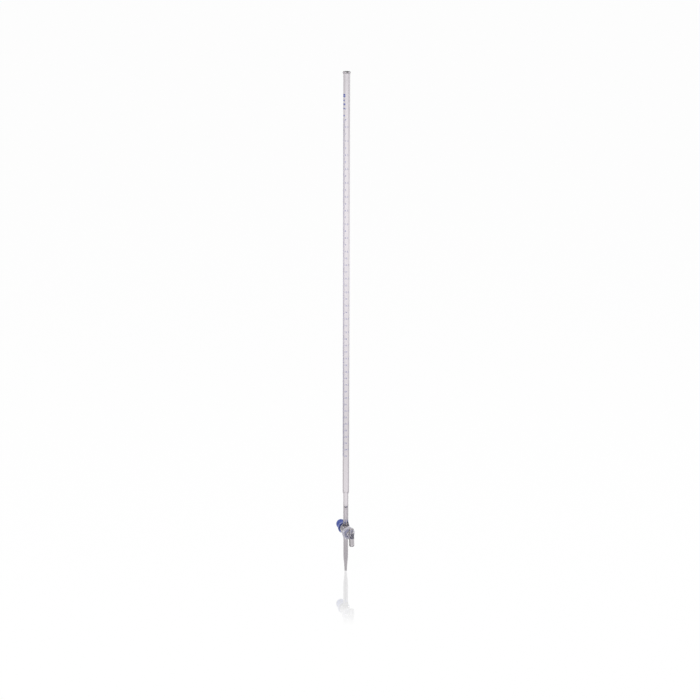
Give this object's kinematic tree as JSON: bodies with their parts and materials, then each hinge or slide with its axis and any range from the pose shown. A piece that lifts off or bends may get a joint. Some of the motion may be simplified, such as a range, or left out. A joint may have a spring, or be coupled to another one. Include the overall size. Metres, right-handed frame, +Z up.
{
  "type": "glass burette",
  "caption": "Slim graduated glass burette: beaded tube, capillary neck, ground stopcock with a T-handle key held by a blue screw nut, and a drawn jet.",
  "frame": {"origin": "on the tube's axis at the end of the jet", "axes": "+Z up along the tube, -Y towards the key's handle, +Y towards its nut, the scale faces -X"},
  "size_m": [0.0208, 0.0699, 0.8069],
  "materials": {
    "clear_glass": "clear fire-polished borosilicate glass",
    "ground_glass": "borosilicate glass with a finely ground, matt taper",
    "blue_enamel": "fired blue enamel print",
    "blue_plastic": "moulded polypropylene, satin gloss",
    "white_plastic": "turned fluoropolymer, waxy",
    "black_rubber": "moulded rubber ring"
  },
  "bodies": {
    "burette": {"measuring_tube": "clear_glass", "neck_tube": "clear_glass", "inlet_arm": "clear_glass", "stopcock_barrel": "ground_glass", "jet_tip": "clear_glass"},
    "key": {"key_plug": "ground_glass", "key_handle": "clear_glass", "thrust_collar": "blue_plastic", "seal_ring": "black_rubber"},
    "washer": {"slip_washer": "white_plastic"},
    "nut": {"retaining_nut": "blue_plastic"}
  },
  "joints": [
    {"name": "key_turn", "type": "hinge", "parent": "burette", "child": "key", "pos_m": [0, 0, 0.07], "axis": [0, 1, 0], "continuous": true},
    {"name": "washer_slide", "type": "slide", "parent": "key", "child": "washer", "axis": [0, 1, 0], "range_m": [0, 0.008]},
    {"name": "nut_turn", "type": "hinge", "parent": "washer", "child": "nut", "pos_m": [0, 0, 0.07], "axis": [0, 1, 0], "range_deg": [0, 1440]}
  ],
  "couplings": [
    {"joint": "nut_turn", "follows": "washer_slide", "rad_per_m": 3141.6}
  ]
}
